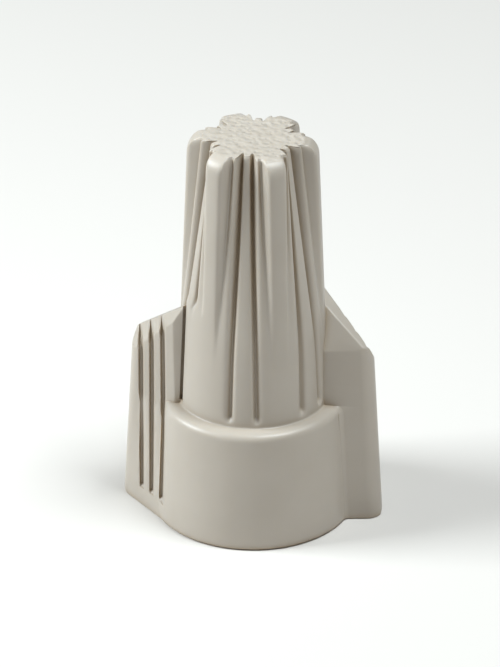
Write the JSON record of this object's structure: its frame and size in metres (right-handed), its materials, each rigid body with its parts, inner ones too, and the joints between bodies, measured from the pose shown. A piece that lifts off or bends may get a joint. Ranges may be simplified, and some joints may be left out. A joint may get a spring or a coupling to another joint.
{
  "type": "twist wire connector",
  "caption": "Winged twist-on wire connector: fluted tapered cap over a flared skirt with two swept grip wings, and a conical square-wire spring inside.",
  "frame": {"origin": "centre of the skirt's open rim, on the plane that it stands on", "axes": "+Z from the open rim to the closed end, along the cap's axis; the wings point along +X and -X, with their smooth faces square to Y"},
  "size_m": [0.02, 0.0154, 0.0315],
  "materials": {
    "shell_resin": "satin moulded thermoplastic, light grey-tan",
    "spring_steel": "bright zinc-plated drawn wire"
  },
  "bodies": {
    "root": {"moulded_shell": "shell_resin", "grip_spring": "spring_steel"}
  },
  "joints": []
}
